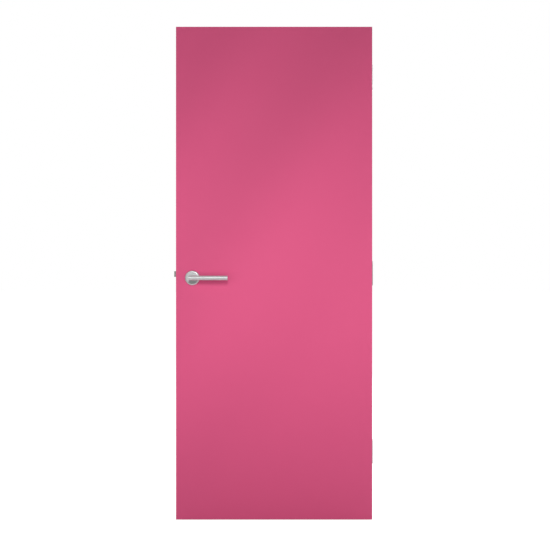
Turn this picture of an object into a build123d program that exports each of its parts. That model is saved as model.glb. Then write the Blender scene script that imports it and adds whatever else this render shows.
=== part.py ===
from build123d import *
import os
from math import radians, sin

# Flush laminate-faced fire door leaf with its hinges and its lever set, in millimetres.
# The origin lies on the outer face of the middle hinge's frame flap, level with the middle
# of the leaf's thickness and of its height. +X runs from the leaf towards the frame on the
# hinge side, -Y is the push side with the plain face in view, and +Z is up.

# Leaf
leaf_height = 2029
leaf_width = 808
leaf_thickness = 44
laminate_thickness = 1
subface_thickness = 3
lipping_width = 8
stile_width = 35
rail_height = 35

# Edge seals
seal_width = 15
seal_depth = 4
seal_fit = 0.2
brush_slot_width = 2.4
brush_slot_depth = 1.6
brush_width = 1.8
brush_proud = 3
seal_stop = 6

# Butt hinges
hinge_height = 102
flap_thickness = 3
flap_reach = 31
flap_corner = 5
flap_gap = 2
flap_fit = 0.2
knuckle_diameter = 13
knuckle_stand_off = 0.5
knuckle_count = 5
knuckle_gap = 0.25
notch_clearance = 0.6
bearing_height = 3
bearing_diameter = 12.6
pin_diameter = 7
pin_tip_diameter = 10
pin_tip_height = 2.2
pin_tip_rounding = 1.6
running_clearance = 0.05
flap_hole_diameter = 5.5
flap_sink_diameter = 10.5
flap_sink_depth = 2.2
outer_hole_spacing = 78
inner_hole_spacing = 30
hole_stagger = 12
top_hinge_down = 150
bottom_hinge_up = 225

# Latch
backset = 68
handle_height = 995
latch_centre_rise = 8
forend_length = 140
forend_width = 22
forend_thickness = 3
forend_fit = 0.2
forend_hole_diameter = 4.6
forend_sink_diameter = 8.6
forend_sink_depth = 2
forend_hole_inset = 9
case_height = 84
case_thickness = 15
case_wall = 1.5
case_behind_spindle = 24
case_fit = 0.3
bolt_height = 24
bolt_thickness = 11
bolt_throw = 12
bolt_tip = 2
bolt_inside = 14
bolt_rise = 16
bolt_fit = 0.3
tail_height = 6
tail_thickness = 8
tail_clearance = 0.7
lug_thickness = 4
lug_depth = 6.7
lug_clearance = 0.6

# Follower and spindle
spindle_size = 8
spindle_fit = 0.1
hub_radius = 10
hub_side_gap = 0.3
boss_radius = 8
boss_clearance = 0.08
turn_angle = 40
arm_radius = 17.5
arm_tip_radius = 3
arm_half_width = 2.2
arm_thickness = 5

# Lever set
bar_diameter = 19
lever_length = 149
lever_projection = 60
bar_end_rounding = 1
neck_gap = 0.8
neck_clearance = 0.3
socket_depth = 26
rose_diameter = 61
rose_height = 8.5
rose_shoulder = 6
rose_wall = 1.2
rose_base_thickness = 4.6
rose_fit = 0.3
rose_bolt_centres = 38
rose_bolt_diameter = 4
rose_bolt_fit = 0.15
rose_bolt_head_diameter = 7.4
rose_bolt_head_height = 2.2
rose_bolt_hole_diameter = 7
spindle_hole_diameter = 21

# Places worked out from the sizes above
front = -leaf_thickness / 2
back = leaf_thickness / 2
core_half = leaf_thickness / 2 - laminate_thickness - subface_thickness
lipping_half = leaf_thickness / 2 - laminate_thickness
top = leaf_height / 2
bottom = -leaf_height / 2
hinge_edge = -flap_thickness - flap_gap
lock_edge = hinge_edge - leaf_width
lipping_in_hinge = hinge_edge - lipping_width
lipping_in_lock = lock_edge + lipping_width
stile_in_hinge = lipping_in_hinge - stile_width
stile_in_lock = lipping_in_lock + stile_width
pin_x = -flap_thickness - flap_gap / 2
knuckle_radius = knuckle_diameter / 2
pin_y = back + knuckle_stand_off + knuckle_radius
bore_radius = pin_diameter / 2 + running_clearance
flap_front = back - flap_reach
hinge_centres = {
    "top": top - top_hinge_down - hinge_height / 2,
    "middle": 0,
    "bottom": bottom + bottom_hinge_up + hinge_height / 2,
}
spindle_x = lock_edge + backset
spindle_z = bottom + handle_height
latch_z = spindle_z + latch_centre_rise
bolt_z = spindle_z + bolt_rise
case_end = spindle_x + case_behind_spindle
case_front = lock_edge + forend_thickness
neck_radius = bar_diameter / 2
bar_y = leaf_thickness / 2 + lever_projection - bar_diameter / 2
first_arm_angle = -turn_angle / 2
frame_knuckles = range(0, knuckle_count, 2)
leaf_knuckles = range(1, knuckle_count, 2)

# How far a cut runs past the face that it opens
reveal = 1


def block(x0, x1, y0, y1, z0, z1):
    """A box between two corners."""
    return Pos((x0 + x1) / 2, (y0 + y1) / 2, (z0 + z1) / 2) * Box(x1 - x0, y1 - y0, z1 - z0)


def across(radius, x, z, half_length):
    """A round bar along Y, centred on the leaf's thickness."""
    return Pos(x, 0, z) * Rot(90, 0, 0) * Cylinder(radius, 2 * half_length)


def save(name, shape):
    """One STEP file for each node."""
    export_step(shape, f"parts/{name}.step")


# Hinges

def knuckle_spans():
    """Heights of the knuckles and bearings from the bottom up, about the hinge's middle."""
    joints = knuckle_count - 1
    bearing_joints = (0, joints - 1)
    gaps = joints + len(bearing_joints)
    height = (hinge_height - len(bearing_joints) * bearing_height - gaps * knuckle_gap) / knuckle_count
    z = -hinge_height / 2
    knuckles, bearings = [], []
    for number in range(knuckle_count):
        knuckles.append((z, z + height))
        z += height + knuckle_gap
        if number in bearing_joints:
            bearings.append((z, z + bearing_height))
            z += bearing_height + knuckle_gap
    return knuckles, bearings


def ring(z0, z1, radius, hole):
    """A short tube on the pin's axis."""
    outer = Pos(0, 0, (z0 + z1) / 2) * Cylinder(radius, z1 - z0)
    return outer - Pos(0, 0, (z0 + z1) / 2) * Cylinder(hole, z1 - z0)


def flap_holes(side):
    """Four staggered countersunk holes, sunk from the face that looks at the other flap."""
    middle = (flap_front + back) / 2 - pin_y
    inner_face = side * flap_gap / 2
    holes = []
    for spacing, shift in ((outer_hole_spacing, -hole_stagger / 2), (inner_hole_spacing, hole_stagger / 2)):
        for end in (-1, 1):
            place = Pos(inner_face, middle + shift, end * spacing / 2) * Rot(0, side * 90, 0)
            drill = Cylinder(
                flap_hole_diameter / 2, 2 * flap_thickness, align=(Align.CENTER, Align.CENTER, Align.MIN)
            )
            sink = Cone(
                flap_sink_diameter / 2,
                flap_hole_diameter / 2,
                flap_sink_depth,
                align=(Align.CENTER, Align.CENTER, Align.MIN),
            )
            holes.append(place * (drill + sink))
    return holes


def hinge_flap(side, own):
    """One flap about the pin's axis. side is +1 for the frame's and -1 for the leaf's."""
    knuckles, _ = knuckle_spans()
    near = side * flap_gap / 2
    far = near + side * flap_thickness
    x0, x1 = min(near, far), max(near, far)
    y0 = flap_front - pin_y
    y1 = -knuckle_radius - notch_clearance
    plate = block(x0, x1, y0, y1, -hinge_height / 2, hinge_height / 2)
    corners = plate.edges().filter_by(Axis.X).group_by(Axis.Y)[0]
    flap = fillet(corners, flap_corner)
    for z0, z1 in (knuckles[number] for number in own):
        tab = block(x0, x1, y1 - notch_clearance, 0, z0, z1)
        barrel = Pos(0, 0, (z0 + z1) / 2) * Cylinder(knuckle_radius, z1 - z0)
        flap += tab + barrel
    flap -= Cylinder(bore_radius, 2 * hinge_height)
    for hole in flap_holes(side):
        flap -= hole
    return flap


def hinge_bearings():
    """The two bearing rings between the end knuckles and their neighbours."""
    _, bearings = knuckle_spans()
    rings = [ring(z0, z1, bearing_diameter / 2, bore_radius) for z0, z1 in bearings]
    return Compound(children=rings)


def hinge_pin():
    """The pin with a domed tip on each end."""
    pin = Cylinder(pin_diameter / 2, hinge_height)
    for end in (-1, 1):
        tip = Pos(0, 0, end * (hinge_height + pin_tip_height) / 2) * Cylinder(
            pin_tip_diameter / 2, pin_tip_height
        )
        rim = tip.edges().filter_by(GeomType.CIRCLE).sort_by(Axis.Z)[-1 if end > 0 else 0]
        pin += fillet(rim, pin_tip_rounding)
    return pin


# Leaf

def hinge_recesses():
    """What the leaf's flaps take out of the leaf, open at its edge and back face."""
    half = hinge_height / 2 + flap_fit
    depth = hinge_edge - flap_thickness
    return [
        block(depth, hinge_edge + reveal, flap_front - flap_fit, back + reveal, z - half, z + half)
        for z in hinge_centres.values()
    ]


def seal_runs():
    """Where the edge seals lie between the hinges, and on each side of the latch."""
    half = hinge_height / 2 + seal_stop
    low = bottom
    hinge_side = []
    for z in sorted(hinge_centres.values()):
        hinge_side.append((low, z - half))
        low = z + half
    hinge_side.append((low, top))
    half = forend_length / 2 + seal_stop
    return hinge_side, [(bottom, latch_z - half), (latch_z + half, top)]


def upright_strips(edge, inward, runs, width, depth, proud=0):
    """Strips along an upright edge, from its face inwards by depth and outwards by proud."""
    x0, x1 = sorted((edge + inward * depth, edge - inward * proud))
    return [block(x0, x1, -width / 2, width / 2, z0, z1) for z0, z1 in runs]


def top_strip(width, depth, proud=0):
    """A strip along the top edge, between the lippings."""
    return block(lipping_in_lock, lipping_in_hinge, -width / 2, width / 2, top - depth, top + proud)


def latch_pocket():
    """The room for the latch case, open at the lock edge."""
    z = latch_z
    half_height = case_height / 2 + case_fit
    half = case_thickness / 2 + case_fit
    return block(lock_edge - reveal, case_end + case_fit, -half, half, z - half_height, z + half_height)


def forend_shape(fit, thickness):
    """The forend's outline with round ends, as a plate from the lock edge inwards."""
    outline = SlotOverall(forend_length + 2 * fit, forend_width + 2 * fit)
    plate = extrude(outline, thickness)
    return Pos(lock_edge, 0, latch_z) * Rot(0, 90, 0) * plate


def face_holes(half):
    """The spindle's hole and the rose bolts' holes through the leaf."""
    holes = across(spindle_hole_diameter / 2, spindle_x, spindle_z, half)
    for side in (-1, 1):
        x = spindle_x + side * rose_bolt_centres / 2
        holes += across(rose_bolt_hole_diameter / 2, x, spindle_z, half)
    return holes


def cut(shape, tools):
    """The shape with each tool taken out of it."""
    for tool in tools:
        shape = shape - tool
    return shape


def face_sheet(y0, y1, x0, x1):
    """A laminate or subface sheet with its holes."""
    return block(x0, x1, y0, y1, bottom, top) - face_holes(leaf_thickness)


def build_leaf():
    """Core, stiles, rails, subfaces, laminates and lippings."""
    pocket = latch_pocket()
    top_groove = top_strip(seal_width + 2 * seal_fit, seal_depth)
    hinge_runs, lock_runs = seal_runs()
    groove_width = seal_width + 2 * seal_fit

    core = block(stile_in_lock, stile_in_hinge, -core_half, core_half, bottom + rail_height, top - rail_height)
    save("core", cut(core, [pocket, face_holes(leaf_thickness)]))

    lock_stile = block(lipping_in_lock, stile_in_lock, -core_half, core_half, bottom, top)
    save("lock_stile", cut(lock_stile, [pocket, top_groove]))
    hinge_stile = block(stile_in_hinge, lipping_in_hinge, -core_half, core_half, bottom, top)
    save("hinge_stile", cut(hinge_stile, [top_groove]))

    top_rail = block(stile_in_lock, stile_in_hinge, -core_half, core_half, top - rail_height, top)
    save("top_rail", cut(top_rail, [top_groove]))
    save("bottom_rail", block(stile_in_lock, stile_in_hinge, -core_half, core_half, bottom, bottom + rail_height))

    inner = (lipping_in_lock, lipping_in_hinge)
    save("front_subface", face_sheet(-lipping_half, -core_half, *inner))
    save("back_subface", face_sheet(core_half, lipping_half, *inner))
    outer = (lock_edge, hinge_edge)
    save("front_laminate", face_sheet(front, -lipping_half, *outer))
    save("back_laminate", cut(face_sheet(lipping_half, back, *outer), hinge_recesses()))

    lock_lipping = block(lock_edge, lipping_in_lock, -lipping_half, lipping_half, bottom, top)
    lock_grooves = upright_strips(lock_edge, 1, lock_runs, groove_width, seal_depth)
    save("lock_lipping", cut(lock_lipping, [pocket, forend_shape(forend_fit, forend_thickness), *lock_grooves]))
    hinge_lipping = block(lipping_in_hinge, hinge_edge, -lipping_half, lipping_half, bottom, top)
    hinge_grooves = upright_strips(hinge_edge, -1, hinge_runs, groove_width, seal_depth)
    save("hinge_lipping", cut(hinge_lipping, [*hinge_recesses(), *hinge_grooves]))


def build_seals():
    """Intumescent strips in the edges, each with a slot that holds its smoke brush."""
    hinge_runs, lock_runs = seal_runs()
    for name, edge, inward, runs in (
        ("lock", lock_edge, 1, lock_runs),
        ("hinge", hinge_edge, -1, hinge_runs),
    ):
        strips = upright_strips(edge, inward, runs, seal_width, seal_depth)
        slots = upright_strips(edge, inward, runs, brush_slot_width, brush_slot_depth)
        solids = [strip - slot for strip, slot in zip(strips, slots)]
        save(f"{name}_edge_seal", Compound(children=solids))
        brush = upright_strips(edge, inward, runs, brush_width, brush_slot_depth, brush_proud)
        save(f"{name}_edge_brush", Compound(children=brush))
    strip = top_strip(seal_width, seal_depth) - top_strip(brush_slot_width, brush_slot_depth)
    save("top_edge_seal", strip)
    save("top_edge_brush", top_strip(brush_width, brush_slot_depth, brush_proud))


# Latch

def bolt_section(grow):
    """The bolt's section seen from the lock edge, as a bar through forend and case."""
    half = bolt_thickness / 2 + grow
    half_height = bolt_height / 2 + grow
    reach = bolt_throw + reveal
    return block(lock_edge - reach, lock_edge + reach, -half, half, bolt_z - half_height, bolt_z + half_height)


def latch_forend():
    """The forend plate with the bolt's opening and two countersunk holes."""
    plate = forend_shape(0, forend_thickness) - bolt_section(bolt_fit)
    for end in (-1, 1):
        z = latch_z + end * (forend_length / 2 - forend_hole_inset)
        place = Pos(lock_edge, 0, z) * Rot(0, 90, 0)
        low = (Align.CENTER, Align.CENTER, Align.MIN)
        plate -= place * Cylinder(forend_hole_diameter / 2, forend_thickness, align=low)
        plate -= place * Cone(
            forend_sink_diameter / 2, forend_hole_diameter / 2, forend_sink_depth, align=low
        )
    return plate


def latch_case():
    """The folded steel case behind the forend."""
    half = case_thickness / 2
    half_height = case_height / 2
    outer = block(case_front, case_end, -half, half, latch_z - half_height, latch_z + half_height)
    inner = block(
        case_front + case_wall,
        case_end - case_wall,
        -half + case_wall,
        half - case_wall,
        latch_z - half_height + case_wall,
        latch_z + half_height - case_wall,
    )
    case = outer - inner - bolt_section(bolt_fit)
    case -= across(boss_radius + boss_clearance, spindle_x, spindle_z, case_thickness)
    for side in (-1, 1):
        x = spindle_x + side * rose_bolt_centres / 2
        case -= across(rose_bolt_hole_diameter / 2, x, spindle_z, case_thickness)
    return case


def latch_bolt():
    """The bevelled bolt with its tail, whose lug the follower's arm pushes back."""
    tip_y = bolt_thickness / 2
    tip = lock_edge - bolt_throw
    heel = lock_edge + bolt_inside
    outline = Polyline(
        (tip, tip_y),
        (tip, tip_y - bolt_tip),
        (lock_edge - reveal, -tip_y),
        (heel, -tip_y),
        (heel, tip_y),
        (tip, tip_y),
    )
    low = bolt_z - bolt_height / 2
    head = Pos(0, 0, low) * extrude(make_face(outline), bolt_height)
    under = spindle_z + arm_radius + arm_tip_radius + tail_clearance
    tip_side = spindle_x + arm_radius * sin(radians(first_arm_angle)) + arm_tip_radius
    lug = tip_side + lug_clearance
    half = tail_thickness / 2
    tail = block(heel, lug + lug_thickness, -half, half, under, under + tail_height)
    tail += block(lug, lug + lug_thickness, -half, half, under - lug_depth, under)
    return head + tail


def follower():
    """The hub that the spindle turns, with the arm that draws the bolt back."""
    half_inside = case_thickness / 2 - case_wall - hub_side_gap
    hub = across(hub_radius, spindle_x, spindle_z, half_inside)
    hub += across(boss_radius, spindle_x, spindle_z, case_thickness / 2)
    arm = block(-arm_half_width, arm_half_width, -arm_thickness / 2, arm_thickness / 2, 0, arm_radius)
    arm += Pos(0, 0, arm_radius) * Rot(90, 0, 0) * Cylinder(arm_tip_radius, arm_thickness)
    hub += Pos(spindle_x, 0, spindle_z) * Rot(0, first_arm_angle, 0) * arm
    half = spindle_size / 2 + spindle_fit
    return hub - block(
        spindle_x - half, spindle_x + half, -leaf_thickness, leaf_thickness, spindle_z - half, spindle_z + half
    )


# Lever set

def spindle():
    """The square bar between the two levers."""
    half = spindle_size / 2
    reach = leaf_thickness / 2 + socket_depth
    return block(spindle_x - half, spindle_x + half, -reach, reach, spindle_z - half, spindle_z + half)


def on_face(side, shape):
    """A shape built up along Z from nothing, moved to the front (-1) or back (+1) face."""
    return Pos(spindle_x, side * leaf_thickness / 2, spindle_z) * Rot(-90 * side, 0, 0) * shape


def lever(side):
    """A round neck out of the rose, mitred to a bar of its own size that runs towards the hinges."""
    start = side * (leaf_thickness / 2 + neck_gap)
    path = Polyline(
        (spindle_x, start, spindle_z),
        (spindle_x, side * bar_y, spindle_z),
        (spindle_x + lever_length, side * bar_y, spindle_z),
    )
    section = Plane(origin=(spindle_x, start, spindle_z), z_dir=(0, side, 0)) * Circle(neck_radius)
    bar = sweep(section, path=path, transition=Transition.RIGHT)
    rim = bar.faces().sort_by(Axis.X)[-1].edges()
    bar = fillet(rim, bar_end_rounding)
    half = spindle_size / 2 + spindle_fit
    y0, y1 = sorted((start, side * (leaf_thickness / 2 + socket_depth + spindle_fit)))
    return bar - block(spindle_x - half, spindle_x + half, y0, y1, spindle_z - half, spindle_z + half)


def rose_cover(side):
    """The drawn cap with its round shoulder, open round the neck."""
    low = (Align.CENTER, Align.CENTER, Align.MIN)
    outer = Cylinder(rose_diameter / 2, rose_height, align=low)
    outer = fillet(outer.edges().filter_by(GeomType.CIRCLE).sort_by(Axis.Z)[-1], rose_shoulder)
    inner = Cylinder(rose_diameter / 2 - rose_wall, rose_height - rose_wall, align=low)
    inner = fillet(inner.edges().filter_by(GeomType.CIRCLE).sort_by(Axis.Z)[-1], rose_shoulder - rose_wall)
    hole = Cylinder(neck_radius + neck_clearance, rose_height, align=low)
    return on_face(side, outer - inner - hole)


def rose_base(side):
    """The plate under the cap that the two bolts clamp to the leaf."""
    low = (Align.CENTER, Align.CENTER, Align.MIN)
    radius = rose_diameter / 2 - rose_wall - rose_fit
    base = Cylinder(radius, rose_base_thickness, align=low)
    rim = base.edges().filter_by(GeomType.CIRCLE).sort_by(Axis.Z)[-1]
    base = chamfer(rim, rose_shoulder - rose_wall - rose_fit)
    base -= Cylinder(neck_radius + neck_clearance, rose_base_thickness, align=low)
    for end in (-1, 1):
        x = end * rose_bolt_centres / 2
        base -= Pos(x, 0, 0) * Cylinder(rose_bolt_diameter / 2 + rose_bolt_fit, rose_base_thickness, align=low)
    return on_face(side, base)


def rose_bolts():
    """Two bolts through the leaf, their heads on the back base and their ends in the front one."""
    low = (Align.CENTER, Align.CENTER, Align.MIN)
    length = leaf_thickness + 2 * rose_base_thickness
    bolts = []
    for end in (-1, 1):
        shank = Cylinder(rose_bolt_diameter / 2, length, align=low)
        head = Pos(0, 0, length) * Cylinder(rose_bolt_head_diameter / 2, rose_bolt_head_height, align=low)
        place = Pos(
            spindle_x + end * rose_bolt_centres / 2, front - rose_base_thickness, spindle_z
        ) * Rot(-90, 0, 0)
        bolts.append(place * (shank + head))
    return Compound(children=bolts)


os.makedirs("parts", exist_ok=True)
build_leaf()
build_seals()
for name, z in hinge_centres.items():
    place = Pos(pin_x, pin_y, z)
    save(f"{name}_hinge_frame_flap", place * hinge_flap(1, frame_knuckles))
    save(f"{name}_hinge_leaf_flap", place * hinge_flap(-1, leaf_knuckles))
    save(f"{name}_hinge_pin", place * hinge_pin())
    save(f"{name}_hinge_bearings", place * hinge_bearings())
save("latch_case", latch_case())
save("latch_forend", latch_forend())
save("latch_bolt", latch_bolt())
save("follower", follower())
save("spindle", spindle())
save("rose_bolts", rose_bolts())
for name, side in (("front", -1), ("back", 1)):
    save(f"{name}_rose_base", rose_base(side))
    save(f"{name}_rose_cover", rose_cover(side))
    save(f"{name}_lever", lever(side))
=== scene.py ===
"""Flush fire door faced in pink laminate: its finishes, small parts and studio, round the solid model."""

import logging
import math
from dataclasses import dataclass, replace
from enum import Enum
from typing import Iterable

import bpy
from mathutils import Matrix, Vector


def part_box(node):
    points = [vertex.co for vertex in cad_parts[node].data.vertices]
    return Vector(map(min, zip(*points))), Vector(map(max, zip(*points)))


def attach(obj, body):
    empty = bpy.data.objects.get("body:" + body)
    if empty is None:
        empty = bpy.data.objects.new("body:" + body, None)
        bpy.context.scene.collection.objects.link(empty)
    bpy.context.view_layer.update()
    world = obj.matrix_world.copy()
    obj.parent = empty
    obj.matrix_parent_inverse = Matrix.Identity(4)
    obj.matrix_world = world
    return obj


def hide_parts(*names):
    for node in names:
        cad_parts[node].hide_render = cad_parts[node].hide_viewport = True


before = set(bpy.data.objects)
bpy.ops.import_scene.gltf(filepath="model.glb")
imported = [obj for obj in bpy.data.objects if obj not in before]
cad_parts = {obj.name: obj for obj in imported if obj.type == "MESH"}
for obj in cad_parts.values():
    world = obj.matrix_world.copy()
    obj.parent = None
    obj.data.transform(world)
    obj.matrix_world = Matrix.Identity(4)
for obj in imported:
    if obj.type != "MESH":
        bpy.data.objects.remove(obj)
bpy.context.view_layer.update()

LOG = logging.getLogger("fire_door")
MM = 0.001
WHITE = (1.0, 1.0, 1.0, 1.0)
SIDES = ("front", "back")
HINGES = ("top", "middle", "bottom")

Colour = tuple[float, float, float]
Triple = tuple[float, float, float]
Span = tuple[float, float]
Levels = tuple[Span, ...]
Run = tuple[Vector, Vector]
Socket = bpy.types.NodeSocket


class Body(Enum):
    """The rigid bodies of the door."""

    HINGES = "hinges"
    LEAF = "leaf"
    HANDLE = "handle"
    BOLT = "bolt"


class Lay(Enum):
    """The way that grain or brushing runs over a piece."""

    ALONG_X = "across the leaf"
    ALONG_Z = "up the leaf"
    TURNED = "round the spindle"
    BENT_BAR = "along the lever's neck and bar"


class Effect(Enum):
    """The effects that finishes share, by the names of their node groups."""

    MOTTLE = "Mottle"
    LINES = "Fine lines"
    GRAIN = "Wood grain"


def srgb(red: int, green: int, blue: int) -> Colour:
    """Turns an sRGB colour into a linear one.

    Args:
        red: Red from 0 to 255.
        green: Green from 0 to 255.
        blue: Blue from 0 to 255.

    Returns:
        The same colour as linear values from 0 to 1.
    """
    def straighten(channel: int) -> float:
        """Linear value of one channel."""
        share = channel / 255
        return share / 12.92 if share <= 0.04045 else ((share + 0.055) / 1.055) ** 2.4

    return straighten(red), straighten(green), straighten(blue)


def shade(colour: Colour, factor: float) -> tuple[float, float, float, float]:
    """The colour made lighter or darker by a factor, with alpha."""
    return tuple(channel * factor for channel in colour) + (1.0,)


def middle_of(node: str) -> Vector:
    """The middle of a solid node's box."""
    low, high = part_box(node)
    return (low + high) / 2


@dataclass
class Graph:
    """A node tree with short calls for adding and wiring nodes."""

    tree: bpy.types.NodeTree

    def add(self, kind: str, inputs: dict | None = None, **settings: object) -> bpy.types.Node:
        """Adds a node.

        Args:
            kind: Blender's name for the node type.
            inputs: Values or sockets by input name or number.
            **settings: Properties of the node.

        Returns:
            The new node.
        """
        node = self.tree.nodes.new(kind)
        for name, value in settings.items():
            setattr(node, name, value)
        self.fill(node, inputs or {})
        return node

    def fill(self, node: bpy.types.Node, inputs: dict) -> None:
        """Gives a node's inputs their values, or wires them to sockets.

        Args:
            node: The node.
            inputs: Values or sockets by input name or number.
        """
        for name, value in inputs.items():
            if isinstance(value, Socket):
                self.tree.links.new(value, node.inputs[name])
            else:
                node.inputs[name].default_value = value

    def maths(self, operation: str, *values: object) -> Socket:
        """Adds a Math node over values or sockets."""
        return self.add("ShaderNodeMath", dict(enumerate(values)), operation=operation).outputs[0]

    def vector(self, operation: str, *values: object) -> Socket:
        """Adds a Vector Math node, which gives a number where the operation measures something."""
        node = self.add("ShaderNodeVectorMath", dict(enumerate(values)), operation=operation)
        return node.outputs["Value" if operation in ("LENGTH", "DISTANCE", "DOT_PRODUCT") else "Vector"]

    def split(self, vector: Socket) -> bpy.types.NodeOutputs:
        """The X, Y and Z of a vector."""
        return self.add("ShaderNodeSeparateXYZ", {0: vector}).outputs

    def join(self, x: object = 0.0, y: object = 0.0, z: object = 0.0) -> Socket:
        """A vector from its X, Y and Z."""
        return self.add("ShaderNodeCombineXYZ", {"X": x, "Y": y, "Z": z}).outputs[0]

    def noise(self, vector: Socket, scale: object, **layers: float) -> Socket:
        """Adds a Noise Texture, with its Detail, Roughness or Distortion where it needs its own."""
        inputs = {"Vector": vector, "Scale": scale} | layers
        return self.add("ShaderNodeTexNoise", inputs).outputs["Fac"]

    def step(self, value: Socket, start: float, end: float) -> Socket:
        """Rises smoothly from 0 where the value is at the start to 1 where it is at the end."""
        inputs = {"Value": value, "From Min": start, "From Max": end}
        return self.add("ShaderNodeMapRange", inputs, interpolation_type="SMOOTHSTEP").outputs["Result"]

    def spread(self, value: Socket, low: float, high: float) -> Socket:
        """Maps a value from 0 to 1 onto a range."""
        inputs = {"Value": value, "To Min": low, "To Max": high}
        return self.add("ShaderNodeMapRange", inputs).outputs["Result"]

    def mix(self, factor: Socket, first: object, second: object) -> Socket:
        """Mixes two colours, by the share of the second."""
        return self.add("ShaderNodeMix", {0: factor, 6: first, 7: second}, data_type="RGBA").outputs[2]

    def ramp(self, value: Socket, levels: Levels, run: str = "LINEAR") -> Socket:
        """Adds a ramp of greys.

        Args:
            value: The socket to read, 0 to 1.
            levels: The ramp's places, each with its grey.
            run: How the grey runs between two places.

        Returns:
            The grey's socket.
        """
        node = self.add("ShaderNodeValToRGB", {"Fac": value})
        node.color_ramp.interpolation = run
        stops = node.color_ramp.elements
        for place, level in levels:
            stop = stops.new(place) if place not in (0.0, 1.0) else stops[-1 if place else 0]
            stop.color = (level, level, level, 1.0)
        return node.outputs["Color"]

    def rotation(self, angles: object) -> Socket:
        """A rotation from Euler angles."""
        return self.add("FunctionNodeEulerToRotation", {0: angles}).outputs[0]

    def rays(self) -> tuple[Socket, Socket]:
        """Masks of the rays from the camera, and of those that come off or through a surface."""
        path = self.add("ShaderNodeLightPath").outputs
        reflected = self.maths("MAXIMUM", path["Is Glossy Ray"], path["Is Transmission Ray"])
        return path["Is Camera Ray"], reflected


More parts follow.
